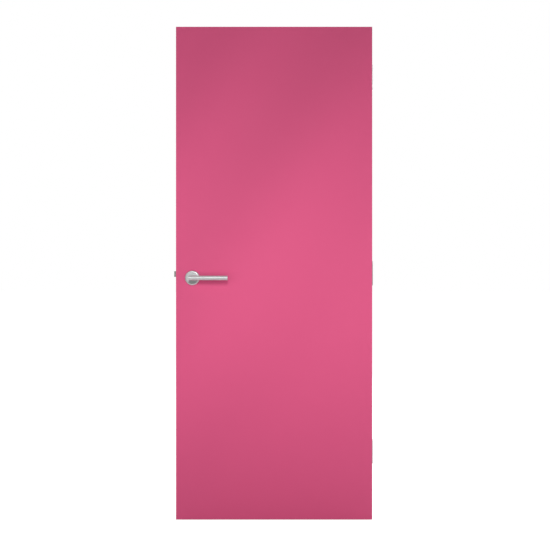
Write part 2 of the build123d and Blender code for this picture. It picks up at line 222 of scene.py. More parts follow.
class EffectGroups:
    """Shader node groups that several finishes share, each built once."""

    SMUDGE_TO_PATCH = 3.7
    BAND_TO_LINE = 0.12
    BEND_STRETCH = 9.0
    BEND_SCALE = 16.0
    YEAR_SCALE = 0.6
    YEAR_SPREAD = 2.4
    LATE_WOOD = (0.3, 0.86)
    RING_END = (1.0, 0.93)
    FIBRE_STRETCH = 40.0
    PORE_STRETCH = 14.0
    PORE_TO_FIBRE = 0.55
    PORE_EDGE = (0.6, 0.7)

    @classmethod
    def place(cls, graph: Graph, effect: Effect, inputs: dict) -> bpy.types.NodeOutputs:
        """Places an effect in a material, and builds its group where that is missing.

        Args:
            graph: The material's graph.
            effect: The effect.
            inputs: Values or sockets by input name.

        Returns:
            The effect's outputs.
        """
        builders = {Effect.MOTTLE: cls.mottle, Effect.LINES: cls.lines, Effect.GRAIN: cls.grain}
        tree = bpy.data.node_groups.get(effect.value) or builders[effect]()
        return graph.add("ShaderNodeGroup", inputs, node_tree=tree).outputs

    @staticmethod
    def start(effect: Effect, scales: dict[str, float]) -> tuple[Graph, bpy.types.NodeOutputs]:
        """Starts a group that takes a vector and some numbers.

        Args:
            effect: The effect that the group gives.
            scales: Name and default of each number.

        Returns:
            The group's graph and its inputs as sockets.
        """
        tree = bpy.data.node_groups.new(effect.value, "ShaderNodeTree")
        tree.interface.new_socket("Vector", in_out="INPUT", socket_type="NodeSocketVector")
        for label, default in scales.items():
            socket = tree.interface.new_socket(label, in_out="INPUT", socket_type="NodeSocketFloat")
            socket.default_value = default
        graph = Graph(tree)
        return graph, graph.add("NodeGroupInput").outputs

    @staticmethod
    def end(graph: Graph, results: dict[str, Socket]) -> bpy.types.NodeTree:
        """Puts out a group's results.

        Args:
            graph: The group's graph.
            results: Each result's socket by its name.

        Returns:
            The group.
        """
        for label in results:
            graph.tree.interface.new_socket(label, in_out="OUTPUT", socket_type="NodeSocketFloat")
        graph.add("NodeGroupOutput", results)
        return graph.tree

    @classmethod
    def mottle(cls) -> bpy.types.NodeTree:
        """Builds soft unevenness: fine speckle, broad patches and smudges from handling.

        Returns:
            The group.
        """
        graph, given = cls.start(Effect.MOTTLE, {"Speckle scale": 900.0, "Patch scale": 6.0})
        vector, patches = given["Vector"], given["Patch scale"]
        smudges = graph.maths("MULTIPLY", patches, cls.SMUDGE_TO_PATCH)
        results = {
            "Speckle": graph.noise(vector, given["Speckle scale"], Roughness=0.6),
            "Patch": graph.noise(vector, patches, Detail=3.0),
            "Smudge": graph.noise(vector, smudges, Detail=4.0, Roughness=0.62, Distortion=0.8),
        }
        return cls.end(graph, results)

    @classmethod
    def lines(cls) -> bpy.types.NodeTree:
        """Builds fine lines from brushing or drawing, along the first axis of the vector.

        Returns:
            The group.
        """
        graph, given = cls.start(Effect.LINES, {"Line scale": 3000.0, "Stretch": 80.0})
        axes = graph.split(given["Vector"])
        squeezed = graph.join(graph.maths("DIVIDE", axes["X"], given["Stretch"]), axes["Y"], axes["Z"])
        bands = graph.maths("MULTIPLY", given["Line scale"], cls.BAND_TO_LINE)
        results = {
            "Lines": graph.noise(squeezed, given["Line scale"], Roughness=0.7),
            "Bands": graph.noise(squeezed, bands, Detail=1.0),
        }
        return cls.end(graph, results)

    @classmethod
    def grain(cls) -> bpy.types.NodeTree:
        """Builds wood round a pith that runs along the vector's first axis.

        Returns:
            The group, which puts out growth rings, fibres and pores.
        """
        numbers = {"Rings in a metre": 400.0, "Wander": 0.012, "Fibre scale": 1400.0}
        graph, given = cls.start(Effect.GRAIN, numbers)
        axes = graph.split(given["Vector"])

        def stretched(factor: float) -> Socket:
            """The vector with its length along the grain divided by a factor."""
            return graph.join(graph.maths("DIVIDE", axes["X"], factor), axes["Y"], axes["Z"])

        radius = graph.vector("LENGTH", graph.join(y=axes["Y"], z=axes["Z"]))
        bends = graph.noise(stretched(cls.BEND_STRETCH), cls.BEND_SCALE)
        bend = graph.maths("MULTIPLY", bends, given["Wander"])
        ring = graph.maths("MULTIPLY", graph.maths("ADD", radius, bend), given["Rings in a metre"])
        year = graph.noise(graph.join(ring), cls.YEAR_SCALE, Detail=1.0)
        season = graph.maths("FRACT", graph.maths("MULTIPLY_ADD", year, cls.YEAR_SPREAD, ring))
        late, ring_end = graph.step(season, *cls.LATE_WOOD), graph.step(season, *cls.RING_END)
        pores = graph.maths("MULTIPLY", given["Fibre scale"], cls.PORE_TO_FIBRE)
        pore = graph.noise(stretched(cls.PORE_STRETCH), pores, Detail=0.0)
        results = {
            "Rings": graph.maths("MULTIPLY", late, ring_end),
            "Fibres": graph.noise(stretched(cls.FIBRE_STRETCH), given["Fibre scale"]),
            "Pores": graph.step(pore, *cls.PORE_EDGE),
        }
        return cls.end(graph, results)


def grain_first(graph: Graph, place: Socket, lay: Lay) -> Socket:
    """Turns coordinates so that a straight grain's direction comes first.

    Args:
        graph: The material's graph.
        place: Object coordinates.
        lay: The axis that the grain runs along.

    Returns:
        The turned coordinates.
    """
    axes = graph.split(place)
    order = ("X", "Y", "Z") if lay is Lay.ALONG_X else ("Z", "X", "Y")
    return graph.join(*(axes[axis] for axis in order))


@dataclass(frozen=True)
class Skin:
    """What a finish's pattern gives its shader: a colour, and masks of its roughness and height."""

    tone: Socket
    wear: Socket
    height: Socket


@dataclass(frozen=True)
class Finish:
    """What every finish shares: its colour, its gloss and how far it varies and stands out."""

    name: str
    colour: Colour
    roughness: float
    specular: float = 0.5
    metallic: float = 0.0
    unevenness: Span = (-0.07, 0.07)
    depth: float = 0.03 * MM

    def skin(self, graph: Graph, place: Socket) -> Skin:
        """The finish's pattern, which each kind of finish has for itself."""
        raise NotImplementedError

    def tinted(self, graph: Graph, tone: Socket, mask: Socket, share: float, factor: float) -> Socket:
        """Mixes a shade of the finish's colour into a tone, up to a share where the mask is 1."""
        return graph.mix(graph.spread(mask, 0.0, share), tone, shade(self.colour, factor))

    def build(self) -> bpy.types.Material:
        """Makes the material.

        Returns:
            The material.
        """
        material = bpy.data.materials.new(self.name)
        material.use_nodes = True
        material.diffuse_color = shade(self.colour, 1.0)
        graph = Graph(material.node_tree)
        skin = self.skin(graph, graph.add("ShaderNodeTexCoord").outputs["Object"])
        smoothest, roughest = (self.roughness + change for change in self.unevenness)
        relief = {"Height": skin.height, "Distance": self.depth, "Strength": 1.0}
        graph.fill(
            graph.tree.nodes["Principled BSDF"],
            {
                "Base Color": skin.tone,
                "Metallic": self.metallic,
                "Roughness": graph.spread(skin.wear, smoothest, roughest),
                "Specular IOR Level": self.specular,
                "Normal": graph.add("ShaderNodeBump", relief).outputs["Normal"],
            },
        )
        return material


@dataclass(frozen=True)
class LaminateFinish(Finish):
    """Suede-textured decorative laminate: coloured paper over a brown kraft core, with painted light and
    shade in soft slanting bands on the paper.
    """

    unevenness: Span = (-0.05, 0.07)
    kraft: Colour = (0.1, 0.05, 0.03)
    kraft_tones: Span = (0.8, 1.3)
    face_at: float = 22 * MM
    paper: float = 0.18 * MM
    speckle_scale: float = 1500.0
    speckle_share: float = 0.35
    speckle_tone: float = 0.96
    patch_scale: float = 2.6
    # Painted light and shade: soft slanting bands across the face, round its middle, that mix a shaded and
    # a lit copy of the paper's colour.
    middle: Triple = (0.0, 0.0, 0.0)
    slant: float = math.radians(56)
    painted_light_span: float = 1.8
    painted_light_tones: Span = (0.925, 1.03)
    painted_light_levels: Levels = (
        (0.0, 0.88), (0.1, 0.5), (0.19, 0.9), (0.33, 0.1),
        (0.47, 0.88), (0.61, 0.52), (0.73, 0.73), (1.0, 0.73),
    )

    def painted_light_share(self, graph: Graph, place: Socket) -> Socket:
        """Painted light and shade on the coloured paper, in broad soft bands on the slant.

        Args:
            graph: The material's graph.
            place: Object coordinates.

        Returns:
            The share of the lit copy of the colour, against the shaded one, in the painted bands.
        """
        way = (math.sin(self.slant) / self.painted_light_span, 0.0, -math.cos(self.slant) / self.painted_light_span)
        across = graph.vector("DOT_PRODUCT", graph.vector("SUBTRACT", place, self.middle), way)
        return graph.ramp(graph.maths("ADD", across, 0.5), self.painted_light_levels, "EASE")

    def skin(self, graph: Graph, place: Socket) -> Skin:
        """The paper's painted bands of light and shade and its speckle on the face, and speckled kraft
        behind it.

        Args:
            graph: The material's graph.
            place: Object coordinates.

        Returns:
            The pattern.
        """
        scales = {"Speckle scale": self.speckle_scale, "Patch scale": self.patch_scale}
        mottle = EffectGroups.place(graph, Effect.MOTTLE, {"Vector": place} | scales)
        # Painted light and shade: the paper's colour, shaded and lit, mixed in soft slanting bands.
        dark, light = (shade(self.colour, tone) for tone in self.painted_light_tones)
        tone = graph.mix(self.painted_light_share(graph, place), dark, light)
        tone = self.tinted(graph, tone, mottle["Speckle"], self.speckle_share, self.speckle_tone)
        depth = graph.maths("ABSOLUTE", graph.split(place)["Y"])
        is_paper = graph.maths("GREATER_THAN", depth, self.face_at - self.paper)
        dark, light = (shade(self.kraft, tone) for tone in self.kraft_tones)
        kraft = graph.mix(mottle["Speckle"], dark, light)
        return Skin(graph.mix(is_paper, kraft, tone), mottle["Smudge"], mottle["Speckle"])


@dataclass(frozen=True)
class TimberFinish(Finish):
    """Planed wood with growth rings, fibres and pores."""

    unevenness: Span = (-0.08, 0.12)
    depth: float = 0.05 * MM
    dark: Colour = (0.2, 0.1, 0.05)
    lay: Lay = Lay.ALONG_Z
    pith: Triple = (0.0, 0.0, 0.0)
    rings: float = 400.0
    fibre_share: float = 0.45
    fibre_tone: float = 0.72
    pore_share: float = 0.4
    pore_tone: float = 0.45

    def skin(self, graph: Graph, place: Socket) -> Skin:
        """Light and dark wood by the growth rings, with fibres and pores over them.

        Args:
            graph: The material's graph.
            place: Object coordinates.

        Returns:
            The pattern.
        """
        turned = grain_first(graph, graph.vector("SUBTRACT", place, self.pith), self.lay)
        grain = EffectGroups.place(graph, Effect.GRAIN, {"Vector": turned, "Rings in a metre": self.rings})
        tone = graph.mix(grain["Rings"], shade(self.colour, 1.0), shade(self.dark, 1.0))
        tone = self.tinted(graph, tone, grain["Fibres"], self.fibre_share, self.fibre_tone)
        pores = graph.maths("MULTIPLY", grain["Pores"], self.pore_share)
        tone = graph.mix(pores, tone, shade(self.dark, self.pore_tone))
        return Skin(tone, grain["Fibres"], grain["Fibres"])


@dataclass(frozen=True)
class BoardFinish(Finish):
    """Pressed board: wood chips or fine fibres bound together."""

    unevenness: Span = (-0.05, 0.1)
    depth: float = 0.1 * MM
    dark: Colour = (0.2, 0.12, 0.06)
    chip_scale: float = 300.0
    chip_tone: float = 1.08
    flatness: float = 2.5
    speckle_scale: float = 1200.0
    speckle_share: float = 0.5
    speckle_tone: float = 0.7

    def skin(self, graph: Graph, place: Socket) -> Skin:
        """Flattened chips, each with its own tone, under a fine speckle.

        Args:
            graph: The material's graph.
            place: Object coordinates.

        Returns:
            The pattern.
        """
        pressed = graph.add("ShaderNodeMapping", {"Vector": place, "Scale": (1.0, self.flatness, 1.0)})
        cells = {"Vector": pressed.outputs[0], "Scale": self.chip_scale, "Randomness": 1.0}
        chips = graph.add("ShaderNodeTexVoronoi", cells).outputs
        chip = graph.add("ShaderNodeSeparateColor", {0: chips["Color"]}).outputs[0]
        speckle = {"Vector": place, "Speckle scale": self.speckle_scale}
        mottle = EffectGroups.place(graph, Effect.MOTTLE, speckle)
        tone = graph.mix(chip, shade(self.colour, self.chip_tone), shade(self.dark, 1.0))
        tone = self.tinted(graph, tone, mottle["Speckle"], self.speckle_share, self.speckle_tone)
        return Skin(tone, mottle["Speckle"], chips["Distance"])


@dataclass(frozen=True)
class SteelFinish(Finish):
    """Satin stainless steel with brushing that follows the piece."""

    metallic: float = 1.0
    depth: float = 0.012 * MM
    lay: Lay = Lay.ALONG_Z
    centre: Triple = (0.0, 0.0, 0.0)
    elbow_at: float = 0.0
    arc_radius: float = 10 * MM
    line_scale: float = 2600.0
    line_tones: Span = (0.9, 1.08)
    stretch: float = 60.0
    smudge_scale: float = 22.0
    smudge_share: float = 0.3
    smudge_tone: float = 0.88
    band_share: float = 0.0
    band_tone: float = 0.7
    band_wear: float = 0.6

    def coordinates(self, graph: Graph, place: Socket) -> Socket:
        """Coordinates whose first axis runs with the brushing.

        Args:
            graph: The material's graph.
            place: Object coordinates.

        Returns:
            The coordinates' socket.
        """
        if self.lay in (Lay.ALONG_X, Lay.ALONG_Z):
            return grain_first(graph, place, self.lay)
        axes = graph.split(graph.vector("SUBTRACT", place, self.centre))
        if self.lay is Lay.TURNED:
            out = graph.vector("LENGTH", graph.join(axes["X"], z=axes["Z"]))
            angle = graph.maths("ARCTAN2", axes["Z"], axes["X"])
            return graph.join(graph.maths("MULTIPLY", angle, self.arc_radius), out, axes["Y"])
        to_bar = graph.maths("SUBTRACT", self.elbow_at, graph.maths("ABSOLUTE", axes["Y"]))
        on_bar = graph.maths("GREATER_THAN", axes["X"], to_bar)
        neck = graph.join(axes["Y"], axes["Z"], axes["X"])
        bar = graph.join(axes["X"], axes["Y"], axes["Z"])
        return graph.add("ShaderNodeMix", {0: on_bar, 4: neck, 5: bar}, data_type="VECTOR").outputs[1]

    def skin(self, graph: Graph, place: Socket) -> Skin:
        """Brushed lines, faint smudges and, where they have a share, darker bands.

        Args:
            graph: The material's graph.
            place: Object coordinates.

        Returns:
            The pattern.
        """
        scales = {"Line scale": self.line_scale, "Stretch": self.stretch}
        lines = EffectGroups.place(graph, Effect.LINES, {"Vector": self.coordinates(graph, place)} | scales)
        smudges = {"Vector": place, "Patch scale": self.smudge_scale}
        mottle = EffectGroups.place(graph, Effect.MOTTLE, smudges)
        dark, light = (shade(self.colour, tone) for tone in self.line_tones)
        tone = graph.mix(lines["Lines"], dark, light)
        tone = self.tinted(graph, tone, mottle["Smudge"], self.smudge_share, self.smudge_tone)
        tone = self.tinted(graph, tone, lines["Bands"], self.band_share, self.band_tone)
        wear = graph.maths("MULTIPLY_ADD", lines["Bands"], self.band_wear, mottle["Smudge"])
        return Skin(tone, wear, lines["Lines"])


@dataclass(frozen=True)
class CoatedFinish(Finish):
    """Cast, plated or extruded stock with an uneven skin."""

    unevenness: Span = (-0.09, 0.09)
    second: Colour = (0.3, 0.3, 0.3)
    patch_scale: float = 40.0
    speckle_scale: float = 700.0
    speckle_share: float = 0.4
    speckle_tone: float = 0.8

    def skin(self, graph: Graph, place: Socket) -> Skin:
        """Two colours in patches, under a fine speckle.

        Args:
            graph: The material's graph.
            place: Object coordinates.

        Returns:
            The pattern.
        """
        scales = {"Speckle scale": self.speckle_scale, "Patch scale": self.patch_scale}
        mottle = EffectGroups.place(graph, Effect.MOTTLE, {"Vector": place} | scales)
        tone = graph.mix(mottle["Patch"], shade(self.colour, 1.0), shade(self.second, 1.0))
        tone = self.tinted(graph, tone, mottle["Speckle"], self.speckle_share, self.speckle_tone)
        return Skin(tone, mottle["Smudge"], mottle["Speckle"])


class GrownTrees:
    """Geometry Nodes trees for what repeats: countersunk screws and brush filaments."""

    HEAD_FACETS = 28
    FILAMENT_SIDES = 3
    THICKNESS_OVER_TIP = 3.5

    @staticmethod
    def start(name: str, sizes: Iterable[str]) -> tuple[Graph, bpy.types.NodeOutputs]:
        """Starts a tree that takes a geometry, sizes, a facing, a seed and a material.

        Args:
            name: The tree's name.
            sizes: Name of each size.

        Returns:
            The tree's graph and its inputs as sockets.
        """
        tree = bpy.data.node_groups.new(name, "GeometryNodeTree")
        inputs = {"Geometry": "Geometry"} | dict.fromkeys(sizes, "Float")
        inputs |= {"Facing": "Vector", "Seed": "Int", "Material": "Material"}
        for label, kind in inputs.items():
            tree.interface.new_socket(label, in_out="INPUT", socket_type=f"NodeSocket{kind}")
        tree.interface.new_socket("Geometry", in_out="OUTPUT", socket_type="NodeSocketGeometry")
        graph = Graph(tree)
        return graph, graph.add("NodeGroupInput").outputs

    @staticmethod
    def stand(graph: Graph, points: Socket, shape: Socket, facing: Socket) -> Socket:
        """Stands a copy of a shape on each point, all turned by the same Euler angles."""
        inputs = {"Points": points, "Instance": shape, "Rotation": graph.rotation(facing)}
        return graph.add("GeometryNodeInstanceOnPoints", inputs).outputs["Instances"]

    @staticmethod
    def turn(graph: Graph, instances: Socket, angles: Socket) -> Socket:
        """Turns each copy about its own axes, by Euler angles of its own."""
        inputs = {"Instances": instances, "Rotation": graph.rotation(angles), "Local Space": True}
        return graph.add("GeometryNodeRotateInstances", inputs).outputs["Instances"]

    @staticmethod
    def end(graph: Graph, instances: Socket, material: Socket) -> bpy.types.NodeTree:
        """Makes the copies real and gives them their material.

        Args:
            graph: The tree's graph.
            instances: The copies.
            material: The material.

        Returns:
            The tree.
        """
        real = graph.add("GeometryNodeRealizeInstances", {"Geometry": instances}).outputs["Geometry"]
        dressed = graph.add("GeometryNodeSetMaterial", {"Geometry": real, "Material": material})
        graph.add("NodeGroupOutput", {"Geometry": dressed.outputs["Geometry"]})
        return graph.tree

    @classmethod
    def screws(cls) -> bpy.types.NodeTree:
        """Builds countersunk cross-recess heads, one at each point, each turned by its own angle.

        Returns:
            The tree.
        """
        head_sizes = ("Head diameter", "Shank diameter", "Head depth")
        recess_sizes = ("Recess length", "Recess width", "Recess depth")
        graph, given = cls.start("Countersunk screws", head_sizes + recess_sizes)
        head = graph.add(
            "GeometryNodeMeshCone",
            {
                "Vertices": cls.HEAD_FACETS,
                "Radius Top": graph.maths("DIVIDE", given["Head diameter"], 2.0),
                "Radius Bottom": graph.maths("DIVIDE", given["Shank diameter"], 2.0),
                "Depth": given["Head depth"],
            },
        )
        down = graph.join(z=graph.maths("MULTIPLY", given["Head depth"], -1.0))
        sunk = graph.add("GeometryNodeTransform", {"Geometry": head.outputs["Mesh"], "Translation": down})
        deep = graph.maths("MULTIPLY", given["Recess depth"], 2.0)
        flute = graph.join(given["Recess length"], given["Recess width"], deep)
        first = graph.add("GeometryNodeMeshCube", {"Size": flute}).outputs["Mesh"]
        quarter_turn = {"Geometry": first, "Rotation": (0.0, 0.0, math.pi / 2)}
        second = graph.add("GeometryNodeTransform", quarter_turn).outputs["Geometry"]
        cross = graph.add("GeometryNodeMeshBoolean", {"Mesh 2": first}, operation="UNION")
        graph.tree.links.new(second, cross.inputs["Mesh 2"])
        inputs = {"Mesh 1": sunk.outputs["Geometry"], "Mesh 2": cross.outputs["Mesh"]}
        cut = graph.add("GeometryNodeMeshBoolean", inputs, operation="DIFFERENCE")
        placed = cls.stand(graph, given["Geometry"], cut.outputs["Mesh"], given["Facing"])
        limits = {2: 0.0, 3: math.pi / 2, "Seed": given["Seed"]}
        angle = graph.add("FunctionNodeRandomValue", limits, data_type="FLOAT").outputs[1]
        return cls.end(graph, cls.turn(graph, placed, graph.join(z=angle)), given["Material"])

    @classmethod
    def filaments(cls) -> bpy.types.NodeTree:
        """Builds brush filaments along edges, each with its own lean and length.

        Returns:
            The tree.
        """
        sizes = ("Spacing", "Length", "Thickness", "Shortest", "Longest", "Lean")
        graph, given = cls.start("Brush filaments", sizes)
        line = graph.add("GeometryNodeMeshToCurve", {"Mesh": given["Geometry"]}).outputs["Curve"]
        spaced = {"Curve": line, "Length": given["Spacing"]}
        stops = graph.add("GeometryNodeResampleCurve", spaced, mode="LENGTH").outputs["Curve"]
        roots = graph.add("GeometryNodeCurveToPoints", {"Curve": stops}, mode="EVALUATED")
        filament = graph.add(
            "GeometryNodeMeshCone",
            {
                "Vertices": cls.FILAMENT_SIDES,
                "Radius Top": graph.maths("DIVIDE", given["Thickness"], cls.THICKNESS_OVER_TIP),
                "Radius Bottom": graph.maths("DIVIDE", given["Thickness"], 2.0),
                "Depth": given["Length"],
            },
        )
        placed = cls.stand(graph, roots.outputs["Points"], filament.outputs["Mesh"], given["Facing"])
        least = graph.maths("MULTIPLY", given["Lean"], -1.0)
        low = graph.join(least, least, -math.pi)
        high = graph.join(given["Lean"], given["Lean"], math.pi)
        limits = {0: low, 1: high, "Seed": given["Seed"]}
        lean = graph.add("FunctionNodeRandomValue", limits, data_type="FLOAT_VECTOR").outputs[0]
        leaning = cls.turn(graph, placed, lean)
        limits = {2: given["Shortest"], 3: given["Longest"], "Seed": given["Seed"]}
        length = graph.add("FunctionNodeRandomValue", limits, data_type="FLOAT").outputs[1]
        trimmed = {"Instances": leaning, "Scale": length, "Local Space": True}
        cut = graph.add("GeometryNodeScaleInstances", trimmed)
        return cls.end(graph, cut.outputs["Instances"], given["Material"])


def new_object(name: str, data: bpy.types.ID) -> bpy.types.Object:
    """Makes an object at the origin and shows it in the scene.

    Args:
        name: The object's name.
        data: Its mesh, lamp or camera.

    Returns:
        The object.
    """
    made = bpy.data.objects.new(name, data)
    bpy.context.scene.collection.objects.link(made)
    return made


def grow(
    name: str, start: list[Run] | list[Vector], tree: bpy.types.NodeTree, values: dict[str, object]
) -> bpy.types.Object:
    """Runs a Geometry Nodes tree over runs or points and keeps the result as a plain mesh.

    Args:
        name: The new piece's name.
        start: The runs or points that the tree works on.
        tree: The tree.
        values: A value for each of the tree's named inputs.

    Returns:
        The new piece.
    """
    along_runs = isinstance(start[0], tuple)
    corners = [end for run in start for end in run] if along_runs else start
    edges = [(n, n + 1) for n in range(0, len(corners), 2)] if along_runs else []
    roots = bpy.data.meshes.new(f"{name}_start")
    roots.from_pydata([tuple(corner) for corner in corners], edges, [])
    seed = new_object(roots.name, roots)
    modifier = seed.modifiers.new("Grow", "NODES")
    modifier.node_group = tree
    for item in tree.interface.items_tree:
        if item.item_type == "SOCKET" and item.in_out == "INPUT" and item.name in values:
            modifier[item.identifier] = values[item.name]
    bpy.context.view_layer.update()
    result = seed.evaluated_get(bpy.context.evaluated_depsgraph_get())
    mesh = bpy.data.meshes.new_from_object(result)
    mesh.name = name
    seed.modifiers.remove(modifier)
    bpy.data.objects.remove(seed)
    bpy.data.meshes.remove(roots)
    return new_object(name, mesh)


def dress(finish: bpy.types.Material, *nodes: str) -> None:
    """Gives solid nodes their finish.

    Args:
        finish: The finish.
        *nodes: The nodes' names.
    """
    for node in nodes:
        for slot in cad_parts[node].material_slots:
            slot.material = finish
        LOG.info("dressed %s in %s", node, finish.name)


def finish_piece(piece: bpy.types.Object, body: Body, slot: str, *nodes: str) -> None:
    """Hangs a new piece under its body's empty, hides the solid nodes that it takes the place of, and logs
    it.

    Args:
        piece: The piece, in place.
        body: The body that it moves with.
        slot: The material slot that it belongs to, which is not used.
        *nodes: Solid nodes that it takes the place of.
    """
    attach(piece, body.value)
    if nodes:
        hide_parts(*nodes)
    LOG.info("made %s with %d faces on %s", piece.name, len(piece.data.polygons), body.value)


@dataclass(frozen=True)
class Board:
    """A board of the leaf's edges, and where its log's heart lies, seen from the board's middle."""

    node: str
    lay: Lay
    heart: Triple


@dataclass
class DoorLeaf:
    """The laminated leaf: faces, lippings, edge frame and core."""

    laminate: LaminateFinish = LaminateFinish(
        "Pink laminate", (0.745, 0.099, 0.239), 0.68, 0.28, kraft=srgb(92, 58, 38)
    )
    hardwood: TimberFinish = TimberFinish(
        "Hardwood", srgb(170, 118, 76), 0.5, 0.4, dark=srgb(128, 80, 46), rings=620.0
    )
    softwood: TimberFinish = TimberFinish(
        "Softwood", srgb(224, 190, 142), 0.62, 0.35, dark=srgb(196, 146, 92), pore_share=0.08
    )
    hardboard: BoardFinish = BoardFinish(
        "Hardboard", srgb(150, 104, 66), 0.7, 0.3, dark=srgb(110, 74, 46), chip_scale=1600.0
    )
    particleboard: BoardFinish = BoardFinish(
        "Particleboard", srgb(206, 172, 124), 0.75, 0.25, dark=srgb(150, 110, 70)
    )
    lippings: tuple[Board, ...] = (
        Board("lock_lipping", Lay.ALONG_Z, (0.046, 0.021, 0.0)),
        Board("hinge_lipping", Lay.ALONG_Z, (-0.058, -0.017, 0.0)),
    )
    edge_frame: tuple[Board, ...] = (
        Board("lock_stile", Lay.ALONG_Z, (0.035, 0.062, 0.0)),
        Board("hinge_stile", Lay.ALONG_Z, (0.022, -0.071, 0.0)),
        Board("top_rail", Lay.ALONG_X, (0.0, 0.026, -0.057)),
        Board("bottom_rail", Lay.ALONG_X, (0.0, -0.034, 0.049)),
    )

    def cut(self, boards: Iterable[Board], wood: TimberFinish) -> None:
        """Dresses boards of one wood, each as cut from its own place in a log.

        Args:
            boards: The boards.
            wood: The wood.
        """
        for board in boards:
            pith = tuple(middle_of(board.node) + Vector(board.heart))
            own = replace(wood, name=f"{wood.name} {board.node}", lay=board.lay, pith=pith)
            dress(own.build(), board.node)

    def build(self) -> None:
        """Dresses every layer of the leaf."""
        face_at = abs(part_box("front_laminate")[0].y)
        laminate = replace(self.laminate, face_at=face_at, middle=tuple(middle_of("front_laminate")))
        dress(laminate.build(), "front_laminate", "back_laminate")
        self.cut(self.lippings, self.hardwood)
        self.cut(self.edge_frame, self.softwood)
        dress(self.hardboard.build(), "front_subface", "back_subface")
        dress(self.particleboard.build(), "core")


@dataclass
class EdgeSeals:
    """Intumescent strips with a smoke brush in the slot of each."""

    spacing: float = 0.8 * MM
    thickness: float = 0.5 * MM
    row_gap: float = 0.9 * MM
    end_gap: float = 1.2 * MM
    lean: float = 0.1
    shortest: float = 0.86
    longest: float = 0.97
    casing: CoatedFinish = CoatedFinish(
        "Seal casing", srgb(96, 62, 44), 0.42, 0.45, second=srgb(84, 54, 38), speckle_scale=500.0
    )
    pile: CoatedFinish = CoatedFinish(
        "Brush pile", srgb(70, 66, 62), 0.7, 0.2, second=srgb(44, 42, 40), speckle_scale=900.0
    )

    def runs(self, node: str) -> list[Run]:
        """The root lines of a brush, two rows for each of its solids.

        Args:
            node: The brush's solid node.

        Returns:
            The start and end of each row.
        """
        low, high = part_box(node)
        middle = (low.y + high.y) / 2
        rows = (middle - self.row_gap / 2, middle + self.row_gap / 2)
        gap = self.end_gap
        if node == "top_edge_brush":
            return [(Vector((low.x + gap, y, low.z)), Vector((high.x - gap, y, low.z))) for y in rows]
        root = high.x if node == "lock_edge_brush" else low.x
        return [
            (Vector((root, y, start + gap)), Vector((root, y, end - gap)))
            for start, end in self.stretches(node)
            for y in rows
        ]

    def stretches(self, node: str) -> list[Span]:
        """Lowest and highest point of each solid in an upright brush's node."""
        heights = sorted({round(v.co.z, 5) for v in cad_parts[node].data.vertices})
        return list(zip(heights[::2], heights[1::2]))

    def build(self) -> None:
        """Dresses the strips and grows the brushes."""
        casing, pile = self.casing.build(), self.pile.build()
        tree = GrownTrees.filaments()
        facing = {
            "lock_edge_brush": (0.0, -math.pi / 2, 0.0),
            "hinge_edge_brush": (0.0, math.pi / 2, 0.0),
            "top_edge_brush": (0.0, 0.0, 0.0),
        }
        for seed, (node, angles) in enumerate(facing.items(), 1):
            dress(casing, node.replace("brush", "seal"))
            dress(pile, node)
            low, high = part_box(node)
            values = {
                "Spacing": self.spacing,
                "Length": high.z - low.z if node == "top_edge_brush" else high.x - low.x,
                "Thickness": self.thickness,
                "Shortest": self.shortest,
                "Longest": self.longest,
                "Lean": self.lean,
                "Facing": angles,
                "Seed": seed,
                "Material": pile,
            }
            piece = grow(node.replace("brush", "filaments"), self.runs(node), tree, values)
            finish_piece(piece, Body.LEAF, "brush", node)


@dataclass(frozen=True)
class ScrewSize:
    """A countersunk screw's head, as far as it shows."""

    head: float
    shank: float
    depth: float
    recess: float
    recess_width: float
    recess_depth: float

    def values(self, facing: Triple, seed: int, material: bpy.types.Material) -> dict:
        """The tree's inputs for this screw.

        Args:
            facing: Euler angles that turn the head outwards.
            seed: The seed of the heads' own turns.
            material: The screws' finish.

        Returns:
            A value for each named input.
        """
        return {
            "Head diameter": self.head,
            "Shank diameter": self.shank,
            "Head depth": self.depth,
            "Recess length": self.recess,
            "Recess width": self.recess_width,
            "Recess depth": self.recess_depth,
            "Facing": facing,
            "Seed": seed,
            "Material": material,
        }


